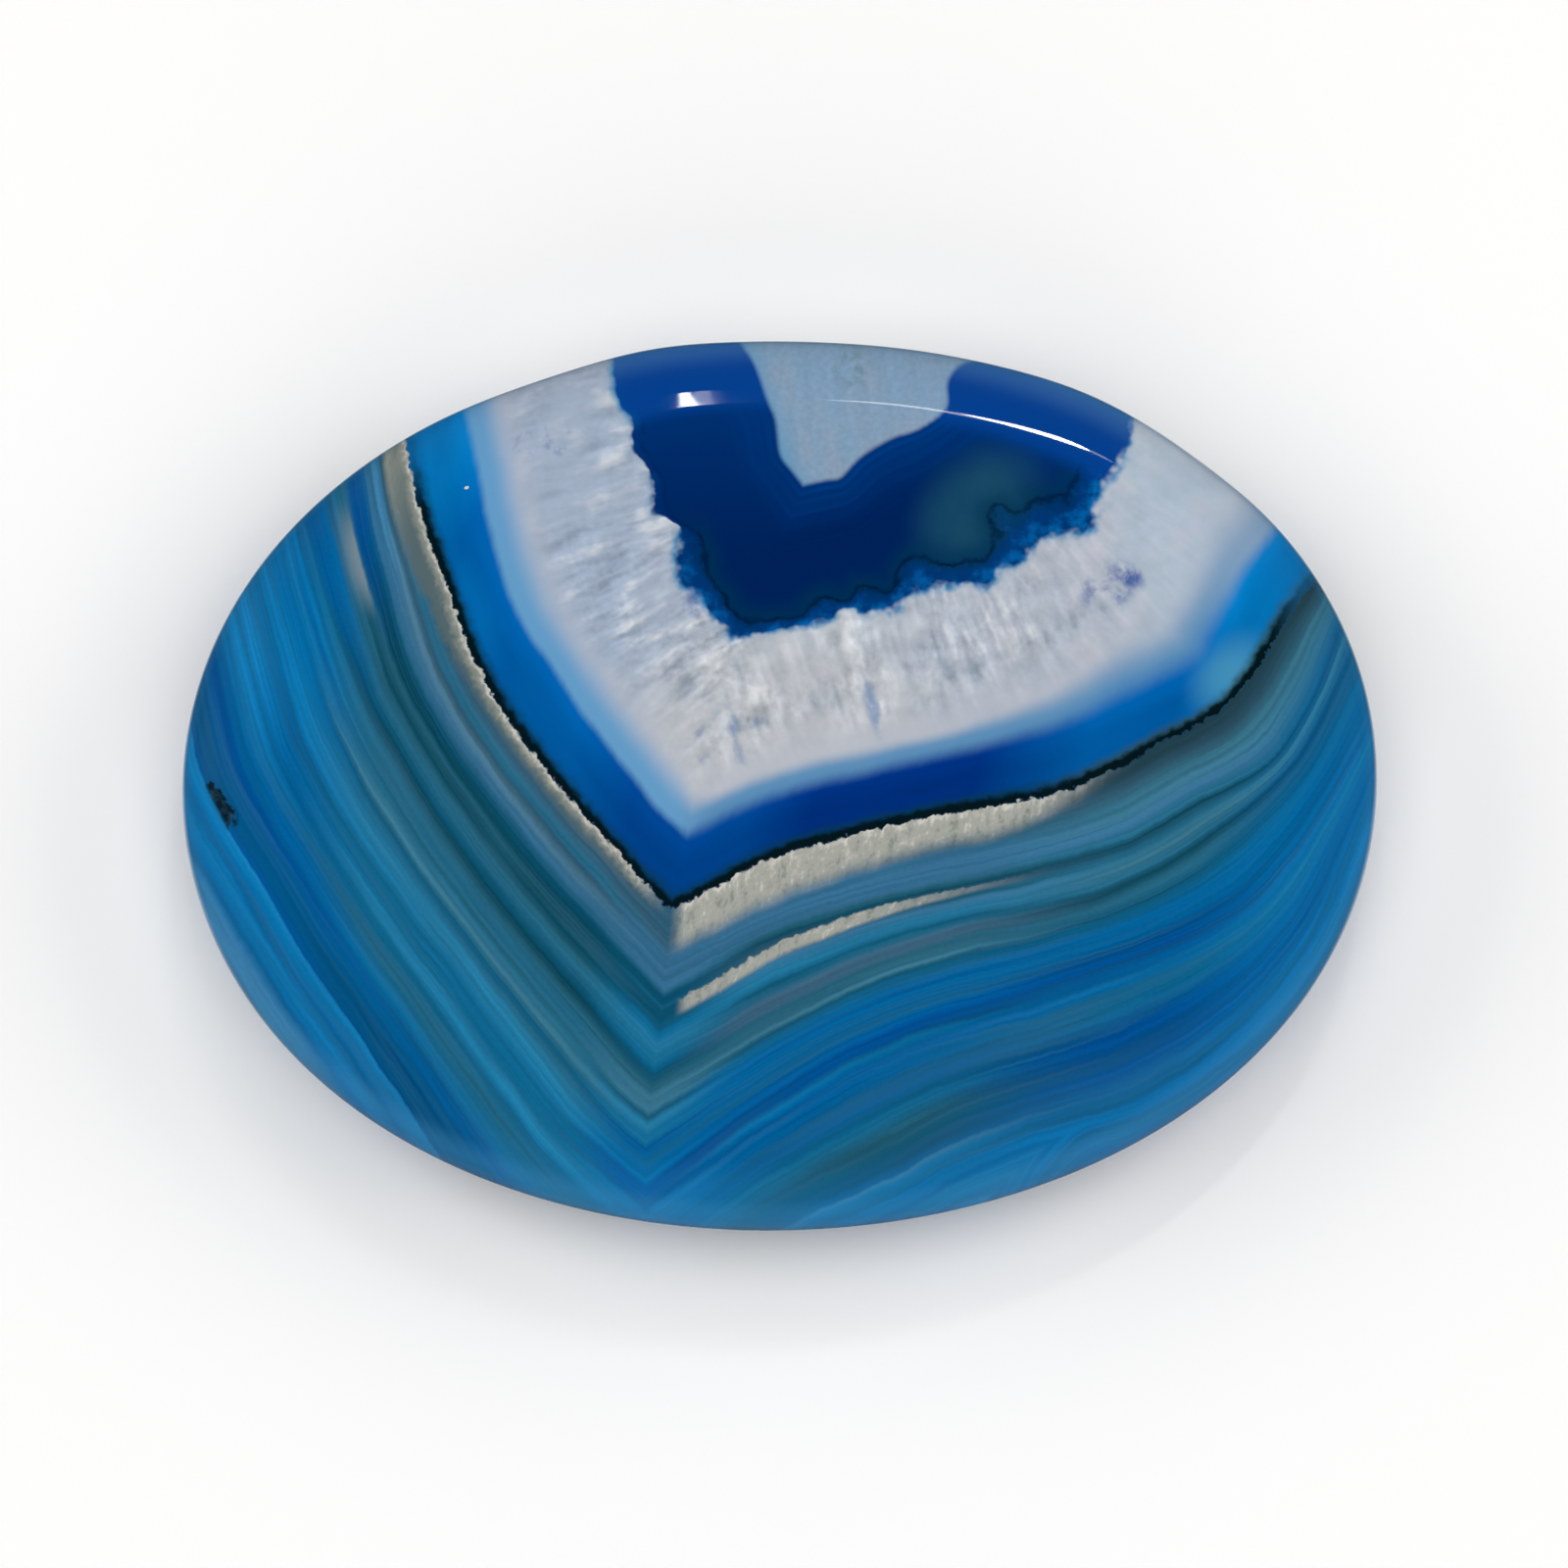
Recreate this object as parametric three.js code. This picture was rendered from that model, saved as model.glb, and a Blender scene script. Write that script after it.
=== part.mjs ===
// Agate worry stone: a palm-size oval pebble of banded agate, ground out of one piece and polished
// all over. It lies on its back, with the hollow for the thumb facing up.
// X runs along the stone's length, Y along its width, and Z points up out of the hollow.
import * as THREE from "three";
import { mergeVertices } from "three/addons/utils/BufferGeometryUtils.js";

// Driving dimensions in millimetres.
const stoneLength = 50;
const stoneWidth = 38.2;
const blankThickness = 8.6; // before the hollow is ground in, which takes a little off the lip
const widestHeight = 4.1; // of the widest outline above the surface that the stone lies on

// The thumb hollow is a shallow bowl that ends in a soft lip, a little way in from the outline.
const hollowDepth = 1.15; // at its middle, below the face of the blank
const hollowMargin = 2.3; // from the outline to the edge of the bowl
const lipSoftness = 0.16; // share of the bowl's rise over which its edge is rounded off

// The rim is rounded over a short way on the front and a longer way on the back.
const frontRimWidth = 5;
const backRimWidth = 9; // what is left inside it is the flat face that the stone rests on
const rimFullness = 2.3; // 2 gives a rim of elliptical section, and more a fuller one

// The outline is an oval, a touch squarer than an ellipse and slightly uneven from the grinding.
const ovalSquareness = 0.004;
const groundSpots = [
  { degrees: 43, spread: 7, swell: -0.004 },
  { degrees: 59, spread: 8, swell: 0.006 },
  { degrees: 84, spread: 9, swell: -0.003 },
  { degrees: 101, spread: 7, swell: 0.006 },
  { degrees: 114, spread: 8, swell: -0.004 },
];

// The mesh: steps round the outline, rings from the middle of the front to the middle of the back.
const outlineSteps = 104;
const ringSteps = 28;
const frontFaceShare = 0.42; // share of the front's rings that lie inside its rim
const backFaceShare = 0.14;

const agate = new THREE.MeshStandardMaterial({
  color: 0x3c7892,
  roughness: 0.1,
  metalness: 0,
});

// How far the grinding left the outline out from or in from the oval, as a share of its radius.
function groundSwell(angle) {
  let swell = ovalSquareness * (1 - Math.cos(4 * angle));
  for (const spot of groundSpots) {
    const away = (THREE.MathUtils.radToDeg(angle) - spot.degrees) / spot.spread;
    swell += spot.swell * Math.exp(-away * away);
  }
  return swell;
}

// The point of the outline at an angle, moved in from it at right angles by the inset.
function outlinePoint(angle, inset) {
  const halfLength = stoneLength / 2;
  const halfWidth = stoneWidth / 2;
  const swell = 1 + groundSwell(angle);
  const point = new THREE.Vector2(
    halfLength * Math.cos(angle) * swell,
    halfWidth * Math.sin(angle) * swell,
  );
  const outward = new THREE.Vector2(halfWidth * Math.cos(angle), halfLength * Math.sin(angle));
  return point.addScaledVector(outward.normalize(), -inset);
}

// The depth of the bowl at a point of the face: a paraboloid whose edge runs out softly.
function hollowAt(point) {
  const alongLength = point.x / (stoneLength / 2 - hollowMargin);
  const alongWidth = point.y / (stoneWidth / 2 - hollowMargin);
  const rise = 1 - alongLength ** 2 - alongWidth ** 2;
  return hollowDepth * lipSoftness * Math.log1p(Math.exp(rise / lipSoftness));
}

// One side of the stone: share runs from 0 at the middle of its face to 1 on the widest outline.
function sidePoint(angle, share, faceShare, rimWidth, rimHeight) {
  const turn = (Math.PI / 2) * Math.min(1, (1 - share) / (1 - faceShare));
  const inset = rimWidth * (1 - Math.max(0, Math.cos(turn)) ** (2 / rimFullness));
  const point = outlinePoint(angle, inset);
  point.multiplyScalar(Math.min(1, share / faceShare));
  return new THREE.Vector3(point.x, point.y, rimHeight * Math.sin(turn) ** (2 / rimFullness));
}

// The stone is shaped from a ball, whose upper half gives the front and whose lower half the back.
function stoneGeometry() {
  const ball = new THREE.SphereGeometry(1, outlineSteps, ringSteps).rotateX(Math.PI / 2);
  const places = ball.getAttribute("position");
  const onBall = new THREE.Vector3();
  for (let i = 0; i < places.count; i++) {
    onBall.fromBufferAttribute(places, i);
    const angle = Math.atan2(onBall.y, onBall.x);
    const share = 1 - Math.abs(Math.asin(THREE.MathUtils.clamp(onBall.z, -1, 1))) / (Math.PI / 2);
    const isFront = onBall.z > 0;
    const point = isFront
      ? sidePoint(angle, share, frontFaceShare, frontRimWidth, blankThickness - widestHeight)
      : sidePoint(angle, share, backFaceShare, backRimWidth, widestHeight);
    const height = isFront ? widestHeight + point.z - hollowAt(point) : widestHeight - point.z;
    places.setXYZ(i, point.x, point.y, height);
  }
  ball.deleteAttribute("normal");
  ball.deleteAttribute("uv");
  const closed = mergeVertices(ball, 1e-4);
  closed.computeVertexNormals();
  return closed;
}

const worryStone = new THREE.Group();
const stone = new THREE.Mesh(stoneGeometry(), agate);
stone.name = "stone";
worryStone.add(stone);

export default worryStone;
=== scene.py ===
import math

import bpy
import numpy as np
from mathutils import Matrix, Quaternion, Vector


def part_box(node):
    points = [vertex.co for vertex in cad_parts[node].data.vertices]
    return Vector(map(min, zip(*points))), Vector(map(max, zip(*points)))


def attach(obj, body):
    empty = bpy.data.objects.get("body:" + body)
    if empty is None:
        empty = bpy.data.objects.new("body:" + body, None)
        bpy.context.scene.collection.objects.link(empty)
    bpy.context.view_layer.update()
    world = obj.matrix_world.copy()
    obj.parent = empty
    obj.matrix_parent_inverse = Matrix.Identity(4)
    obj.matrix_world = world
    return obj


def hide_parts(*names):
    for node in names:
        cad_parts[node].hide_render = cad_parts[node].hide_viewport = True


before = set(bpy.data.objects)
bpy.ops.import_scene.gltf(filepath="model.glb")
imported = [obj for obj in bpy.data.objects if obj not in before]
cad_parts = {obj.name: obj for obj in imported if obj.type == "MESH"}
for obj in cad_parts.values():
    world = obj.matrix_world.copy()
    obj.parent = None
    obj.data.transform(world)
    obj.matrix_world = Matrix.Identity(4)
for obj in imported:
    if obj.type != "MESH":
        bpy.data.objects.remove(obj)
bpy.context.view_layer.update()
stoneLow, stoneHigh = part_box("stone")
mm = 0.001
print("frame loaded")


# Small helpers for node trees, so that a formula can be written as a formula.

class Field:
    # one node output that adds, multiplies and so on like a number
    def __init__(self, tree, socket):
        self.tree = tree
        self.socket = socket

    def __add__(self, other):
        return maths("ADD", self, other)

    def __radd__(self, other):
        return maths("ADD", other, self)

    def __sub__(self, other):
        return maths("SUBTRACT", self, other)

    def __rsub__(self, other):
        return maths("SUBTRACT", other, self)

    def __mul__(self, other):
        return maths("MULTIPLY", self, other)

    def __rmul__(self, other):
        return maths("MULTIPLY", other, self)

    def __truediv__(self, other):
        return maths("DIVIDE", self, other)

    def __rtruediv__(self, other):
        return maths("DIVIDE", other, self)

    def __pow__(self, other):
        return maths("POWER", self, other)


def plug(tree, socket, value):
    if isinstance(value, Field):
        tree.links.new(value.socket, socket)
    else:
        socket.default_value = value


def maths(operation, *values):
    tree = next(value.tree for value in values if isinstance(value, Field))
    node = tree.nodes.new("ShaderNodeMath")
    node.operation = operation
    for socket, value in zip(node.inputs, values):
        plug(tree, socket, value)
    return Field(tree, node.outputs[0])


def stepUp(value, low, high):
    # 0 below low and 1 above high, with a soft step between them
    # where low is the higher of the two, it runs the other way: 1 below and 0 above
    node = value.tree.nodes.new("ShaderNodeMapRange")
    node.interpolation_type = "SMOOTHSTEP"
    plug(value.tree, node.inputs["Value"], value)
    plug(value.tree, node.inputs["From Min"], low)
    plug(value.tree, node.inputs["From Max"], high)
    return Field(value.tree, node.outputs["Result"])


def joined(tree, x, y, z):
    node = tree.nodes.new("ShaderNodeCombineXYZ")
    for socket, value in zip(node.inputs, (x, y, z)):
        plug(tree, socket, value)
    return Field(tree, node.outputs[0])


def parted(vector):
    node = vector.tree.nodes.new("ShaderNodeSeparateXYZ")
    plug(vector.tree, node.inputs[0], vector)
    return [Field(vector.tree, output) for output in node.outputs]


# The stone. Lengths are in metres. Its length and width come from the frame, the rest is as in the solid.
stoneShape = {
    "Half Length": stoneHigh[0],
    "Half Width": -stoneLow[1],
    "Blank Thickness": 8.6 * mm,  # before the hollow is ground in
    "Widest Height": 4.1 * mm,
    "Hollow Depth": 1.15 * mm,
    "Hollow Margin": 2.3 * mm,  # from the outline to the edge of the bowl
    "Lip Softness": 0.16,
    "Front Rim Width": 5 * mm,
    "Back Rim Width": 9 * mm,
    "Rim Fullness": 2.3,
    "Oval Squareness": 0.004,
    "Polish Waves": 0.003 * mm,  # unevenness that the polishing wheel leaves on the front
    "Segments": 620,
    "Rings": 156,
    "Front Rings": 0.77,  # share of the rings that lie on the front
    "Front Face": 0.7,  # share of the front's rings that lie inside its rim
    "Back Face": 0.35,
}
groundSpots = [  # degrees round the outline, spread in degrees and swell as a share of the radius
    (43, 7, -0.004),
    (59, 8, 0.006),
    (84, 9, -0.003),
    (101, 7, 0.006),
    (114, 8, -0.004),
]
wholeNumbers = ("Segments", "Rings")


def swellAt(angle, squareness):
    swell = 1 + squareness * (1 - maths("COSINE", angle * 4))
    for degrees, spread, amount in groundSpots:
        away = (angle * math.degrees(1) - degrees) / spread
        swell = swell + amount * maths("EXPONENT", away * away * -1)
    return swell


def stoneTree(material):
    # bends a ball into the stone: its upper part gives the front and its lower part the back
    tree = bpy.data.node_groups.new("worryStone", "GeometryNodeTree")
    tree.interface.new_socket("Geometry", in_out="OUTPUT", socket_type="NodeSocketGeometry")
    for name in stoneShape:
        kind = "NodeSocketInt" if name in wholeNumbers else "NodeSocketFloat"
        tree.interface.new_socket(name, in_out="INPUT", socket_type=kind)
    given = tree.nodes.new("NodeGroupInput")
    size = {name: Field(tree, given.outputs[name]) for name in stoneShape}

    ball = tree.nodes.new("GeometryNodeMeshUVSphere")
    plug(tree, ball.inputs["Segments"], size["Segments"])
    plug(tree, ball.inputs["Rings"], size["Rings"])
    ball.inputs["Radius"].default_value = 1
    onBall = parted(Field(tree, tree.nodes.new("GeometryNodeInputPosition").outputs[0]))
    angle = maths("ARCTAN2", onBall[1], onBall[0])
    flatAngle = maths("WRAP", angle, math.tau, 0)
    down = maths("ARCCOSINE", maths("MAXIMUM", maths("MINIMUM", onBall[2], 1), -1)) / math.pi
    isFront = maths("LESS_THAN", down, size["Front Rings"])

    def bySide(front, back):
        return front * isFront + back * (1 - isFront)

    frontRise = size["Blank Thickness"] - size["Widest Height"]
    share = bySide(down / size["Front Rings"], (1 - down) / (1 - size["Front Rings"]))
    face = bySide(size["Front Face"], size["Back Face"])
    rimWidth = bySide(size["Front Rim Width"], size["Back Rim Width"])
    turn = math.pi / 2 * maths("MINIMUM", (1 - share) / (1 - face), 1)
    bend = 2 / size["Rim Fullness"]
    inset = rimWidth * (1 - maths("MAXIMUM", maths("COSINE", turn), 0) ** bend)
    rise = bySide(frontRise, size["Widest Height"]) * maths("SINE", turn) ** bend

    swell = swellAt(flatAngle, size["Oval Squareness"])
    cosine = maths("COSINE", angle)
    sine = maths("SINE", angle)
    outwardX = size["Half Width"] * cosine
    outwardY = size["Half Length"] * sine
    outwardLength = maths("SQRT", outwardX * outwardX + outwardY * outwardY)
    inFace = maths("MINIMUM", share / face, 1)
    x = (size["Half Length"] * cosine * swell - inset * outwardX / outwardLength) * inFace
    y = (size["Half Width"] * sine * swell - inset * outwardY / outwardLength) * inFace

    bowlX = x / (size["Half Length"] - size["Hollow Margin"])
    bowlY = y / (size["Half Width"] - size["Hollow Margin"])
    bowl = (1 - bowlX * bowlX - bowlY * bowlY) / size["Lip Softness"]
    softBowl = maths("LOGARITHM", 1 + maths("EXPONENT", bowl), math.e)
    hollow = size["Hollow Depth"] * size["Lip Softness"] * softBowl

    wave = tree.nodes.new("ShaderNodeTexNoise")
    wave.inputs["Scale"].default_value = 130  # waves in a metre, so about one in 8 mm
    wave.inputs["Detail"].default_value = 1
    plug(tree, wave.inputs["Vector"], joined(tree, x, y, 0))
    waves = (Field(tree, wave.outputs[0]) - 0.5) * size["Polish Waves"] * 2
    front = size["Widest Height"] + rise - hollow + waves * maths("SINE", turn)
    z = bySide(front, size["Widest Height"] - rise)

    placed = tree.nodes.new("GeometryNodeSetPosition")
    plug(tree, placed.inputs["Geometry"], Field(tree, ball.outputs["Mesh"]))
    plug(tree, placed.inputs["Position"], joined(tree, x, y, z))
    smooth = tree.nodes.new("GeometryNodeSetShadeSmooth")
    real = tree.nodes.new("GeometryNodeRealizeInstances")
    finish = tree.nodes.new("GeometryNodeSetMaterial")
    finish.inputs["Material"].default_value = material
    last = tree.nodes.new("NodeGroupOutput")
    chain = [placed, smooth, real, finish, last]
    for before, after in zip(chain, chain[1:]):
        tree.links.new(before.outputs[0], after.inputs[0])
    return tree


def makeStone(material):
    tree = stoneTree(material)
    maker = bpy.data.objects.new("stoneMaker", bpy.data.meshes.new("stoneMaker"))
    bpy.context.scene.collection.objects.link(maker)
    modifier = maker.modifiers.new("worryStone", "NODES")
    modifier.node_group = tree
    for item in tree.interface.items_tree:
        if item.in_out == "INPUT":
            modifier[item.identifier] = stoneShape[item.name]
    seen = maker.evaluated_get(bpy.context.evaluated_depsgraph_get())
    mesh = bpy.data.meshes.new_from_object(seen)
    mesh.name = "polishedStone"
    bpy.data.objects.remove(maker)
    stone = bpy.data.objects.new("polishedStone", mesh)
    bpy.context.scene.collection.objects.link(stone)
    return stone


# The bands. An agate grows in layers, and the cut shows them as lines that meet in a fold, like a V.
# Each line runs from the fold out to the rim, to the left and to the right, in millimetres on the face.
# Its depth is how many millimetres of agate lie between it and the middle of the white quartz.
growthLines = {
    "heart": {
        "depth": -11.8,
        "left": [(1.3, 11.8), (0.8, 12.5), (0.35, 13.2), (0.2, 14.7), (-0.1, 15.5), (-0.6, 17.1),
                 (-1.1, 18)],
        "right": [(1.3, 11.8), (2.3, 12), (2.9, 12.1), (3.8, 13), (5.1, 13.75), (6.2, 14.1), (7.4, 15),
                  (7.5, 16.2), (8.2, 17), (9.5, 17.2)],
    },
    "innerEdge": {
        "depth": -6,
        "left": [(-0.7, 6), (-1.4, 6.2), (-1.9, 6.6), (-2.1, 7), (-2.35, 7.4), (-2.7, 8), (-2.85, 8.8),
                 (-3, 9.6), (-3.4, 10.05), (-4.1, 10.45), (-4.45, 11.2), (-4.5, 12.1), (-5, 13),
                 (-5.4, 13.7), (-5.4, 14.9), (-5.9, 15.8), (-6.1, 17.5)],
        "right": [(-0.7, 6), (0.9, 6.1), (1.4, 6.6), (2.1, 7), (3, 6.7), (3.5, 7.35), (4.7, 7.1),
                  (5, 7.4), (5.2, 8.1), (5.6, 8.6), (6.2, 8.7), (7.1, 8.2), (8.5, 8.4), (9.1, 8.7),
                  (9.1, 9.6), (9, 10.2), (9.3, 10.8), (10.4, 10.4), (10.9, 11), (12.1, 11),
                  (12.5, 11.7), (12.9, 12.4), (13.4, 13.4), (14.2, 15.3)],
    },
    "core": {
        "depth": -5.1,
        "left": [(-1.6, 5.1), (-2, 5.5), (-2.4, 5.95), (-2.6, 6.25), (-3, 7.1), (-3.6, 7.5),
                 (-4.05, 8.2), (-4.05, 9.3), (-3.85, 10.2), (-4.4, 10.5), (-5, 10.9), (-4.9, 12.1),
                 (-5.45, 13.1), (-5.8, 13.5), (-5.8, 14.9), (-6.4, 15.8), (-6.5, 17.5)],
        "right": [(-1.6, 5.1), (-0.9, 5.35), (0.4, 5.65), (2.1, 5.9), (2.9, 6.4), (3.4, 6.4),
                  (3.7, 6.1), (4.4, 6.35), (5, 6.25), (5.6, 7), (8, 7.4), (8.9, 7.2), (9.3, 8),
                  (10.4, 8.3), (11.4, 9.3), (13.4, 9.7), (13.6, 11.3), (14.4, 12.1), (15.2, 13.9),
                  (15.4, 14.8)],
    },
    "blueEdge": {
        "depth": 3.2,
        "left": [(-3.9, -3.2), (-5.15, -2.05), (-6.7, 0.1), (-8.1, 2.1), (-9.45, 4.3), (-10.7, 6.3),
                 (-11.5, 8.6), (-12, 10.85), (-12.3, 12.85), (-12.8, 15.5)],
        "right": [(-3.9, -3.2), (-2.3, -2.4), (-0.25, -1.6), (1.1, -1.2), (4, -0.6), (6.85, -0.02),
                  (9.9, 0.65), (12.7, 1.5), (15.3, 2.7), (17.5, 3.8), (18.1, 4.9), (18.9, 6.4),
                  (19.8, 8), (21.2, 9.6)],
    },
    "black": {
        "depth": 6.4,
        "left": [(-4.7, -6.4), (-5.6, -5.4), (-6.9, -3.7), (-8.1, -2.3), (-9.5, -0.5), (-10.6, 1),
                 (-11.9, 3.1), (-12.9, 5.3), (-13.6, 7.6), (-14.3, 9.6), (-14.8, 11.2), (-15.1, 12.5),
                 (-15.3, 13.7)],
        "right": [(-4.7, -6.4), (-3.2, -5.7), (-1.6, -4.85), (0, -4.15), (1.8, -3.65), (4, -3.15),
                  (7.1, -2.55), (9.9, -2.15), (12, -1.7), (14, -0.85), (16, 0.25), (17.9, 1.2),
                  (19.4, 2.5), (20.4, 3.9), (21.3, 5.3), (22.2, 6.5)],
    },
    "steel": {
        "depth": 9.8,
        "left": [(-5, -9.8), (-6.2, -8.5), (-8.2, -6.2), (-10, -4.1), (-12.3, -0.9), (-14, 1.8),
                 (-15.1, 4.1), (-15.7, 6.2), (-16.2, 8.3), (-16.7, 10.6), (-17.1, 13.2)],
        "right": [(-5, -9.8), (-4, -9.3), (-2.2, -8.4), (-0.4, -7.6), (4, -6.3), (8, -5.5), (10.4, -5),
                  (13.8, -4.1), (15.2, -3.5), (17.1, -2.4), (18.6, -1.7), (19.7, -1.1), (20.5, -0.5),
                  (21.2, 0.4), (22.4, 2.4), (23.2, 4.3)],
    },
    "darkLine": {
        "depth": 13.3,
        "left": [(-5.5, -13.3), (-6.4, -12.4), (-8.5, -9.9), (-11.5, -6.1), (-14.4, -1.8),
                 (-16.7, 2.5), (-17.4, 4.3), (-18, 6.1), (-18.5, 7.8), (-19.1, 10)],
        "right": [(-5.5, -13.3), (-2.6, -11.8), (-0.6, -10.7), (3.6, -8.8), (7.8, -7.6), (9.9, -7.3),
                  (11.5, -6.9), (13.2, -6.5), (15.5, -5.5), (16.9, -4.7), (17.8, -4.1), (18.9, -3.3),
                  (20.1, -2.3), (20.9, -1.5), (21.7, -0.6), (22.4, 0.5), (23.6, 2.8)],
    },
    "deepBlue": {
        "depth": 18.5,
        "left": [(-6, -18.5), (-9, -15.6), (-10.8, -13.1), (-12.1, -11.3), (-13.9, -8.6), (-15.1, -7),
                 (-17.8, -2.8), (-19.3, 0.1), (-20.2, 2.4), (-21.2, 6.3)],
        "right": [(-6, -18.5), (-3.1, -16.3), (-1.2, -15), (2.1, -13), (4.5, -12), (7, -11.2),
                  (9.5, -10.6), (11.4, -10), (13.1, -9.5), (15.6, -8.7), (17.7, -7.8), (19.5, -6.7),
                  (21.1, -5), (22.5, -3), (23.7, -1)],
    },
    "pale": {
        "depth": 23.5,
        "right": [(-6, -24.5), (0, -20.6), (4.4, -18.6), (6.2, -17.6), (8.7, -16.5), (11.2, -15.7),
                  (13.6, -15.1), (16.5, -13.6), (19.5, -11.2), (22, -8), (23.8, -4)],
    },
    "outer": {
        "depth": 25,
        "left": [(-6.3, -29), (-13.3, -18.6), (-16, -14.1), (-18.05, -10.75), (-19.8, -8),
                 (-21.4, -5.1), (-22.95, -2.4), (-24.05, 0), (-24.6, 2.5)],
    },
}
fanLines = {  # smoother than the blue edge, for the crystals that stand on it
    "left": [(-3.9, -3.2), (-8, 2), (-11, 8), (-12.8, 15.5)],
    "right": [(-3.9, -3.2), (4, -0.8), (12, 1.6), (17.5, 5.2), (21.5, 10)],
}
bandSlant = math.radians(15)  # the layers lean through the stone's thickness
faceHeight = 8  # millimetres, where the lines above were laid out
backDrift = 1.6  # millimetres that the layers have grown inwards at the back


def smoothLine(points, step=0.3):
    # a soft curve through the points, as short straight pieces
    p = np.array(points, float)
    p = np.vstack([2 * p[0] - p[1], p, 2 * p[-1] - p[-2]])
    parts = []
    for a, b, c, d in zip(p, p[1:], p[2:], p[3:]):
        count = max(2, math.ceil(np.linalg.norm(c - b) / step))
        t = np.linspace(0, 1, count, endpoint=False)[:, None]
        bend = 2 * a - 5 * b + 4 * c - d
        twist = 3 * b - a - 3 * c + d
        parts.append((2 * b + (c - a) * t + bend * t ** 2 + twist * t ** 3) / 2)
    parts.append(p[-2:-1])
    return np.vstack(parts)


def offLine(points, places, side):
    # how far each place lies beyond a line, and how far along it
    before, after = 5, 8  # millimetres by which the line runs on past its ends
    path = smoothLine(points)
    head = path[0] - path[2]
    tail = path[-1] - path[-3]
    head = path[0] + head * before / np.linalg.norm(head)
    tail = path[-1] + tail * after / np.linalg.norm(tail)
    path = np.vstack([head, path, tail])
    steps = np.diff(path, axis=0)
    lengths = np.linalg.norm(steps, axis=1)
    starts = np.concatenate([[0], np.cumsum(lengths)[:-1]]) - before
    nearest = np.full(len(places), np.inf)
    beyond = np.zeros(len(places))
    along = np.zeros(len(places))
    for corner, step, length, start in zip(path, steps, lengths, starts):
        away = places - corner
        t = np.clip(away @ step / length ** 2, 0, 1)
        off = away - t[:, None] * step
        distance = (off * off).sum(axis=1)
        turned = side * np.sign(step[0] * away[:, 1] - step[1] * away[:, 0])
        closer = distance < nearest
        nearest = np.where(closer, distance, nearest)
        beyond = np.where(closer, turned, beyond)
        along = np.where(closer, start + t * length, along)
    return beyond * np.sqrt(nearest), along


def armField(places, arm, side):
    # the depth in the growth, and the way along the layers, on one side of the fold
    lines = [line for line in growthLines.values() if arm in line]
    depths = [line["depth"] for line in lines]
    beyond, along = zip(*[offLine(line[arm], places, side) for line in lines])
    depth = depths[0] + beyond[0]
    way = along[0]
    for k in range(len(lines) - 1):
        share = np.clip(beyond[k] / np.maximum(beyond[k] - beyond[k + 1], 1e-6), 0, 1)
        past = beyond[k] > 0
        depth = np.where(past, depths[k] + share * (depths[k + 1] - depths[k]), depth)
        way = np.where(past, along[k] + share * (along[k + 1] - along[k]), way)
    depth = np.where(beyond[-1] > 0, depths[-1] + beyond[-1], depth)
    return depth, way


def layBands(stone):
    # writes where each point of the surface lies in the agate's growth
    mesh = stone.data
    points = np.empty(len(mesh.vertices) * 3, np.float32)
    mesh.vertices.foreach_get("co", points)
    x, y, z = points.reshape(-1, 3).T.astype(float) / mm
    places = np.column_stack([x, y + (z - faceHeight) * math.tan(bandSlant)])
    sunk = np.clip((4 - z) / 4, 0, 1)
    drift = backDrift * sunk * sunk * (3 - 2 * sunk)
    leftDepth, leftWay = armField(places, "left", 1)
    rightDepth, rightWay = armField(places, "right", -1)
    halfLength, halfWidth = stoneShape["Half Length"] / mm, stoneShape["Half Width"] / mm
    reach = np.hypot(x / halfLength, y / halfWidth)
    steepness = np.maximum(np.hypot(x / halfLength ** 2, y / halfWidth ** 2), 1e-3)
    belowWidest = np.maximum(stoneShape["Widest Height"] / mm - z, 0)
    written = {
        "leftDepth": leftDepth + drift,
        "leftWay": leftWay,
        "leftFan": offLine(fanLines["left"], places, 1)[1],
        "rightDepth": rightDepth + drift,
        "rightWay": rightWay,
        "rightFan": offLine(fanLines["right"], places, -1)[1],
        "fromOutline": (1 - reach) * reach / steepness + belowWidest,
        "faceX": places[:, 0],
        "faceY": places[:, 1],
    }
    for name, values in written.items():
        attribute = mesh.attributes.new(name, "FLOAT", "POINT")
        attribute.data.foreach_set("value", values.astype(np.float32))


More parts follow.
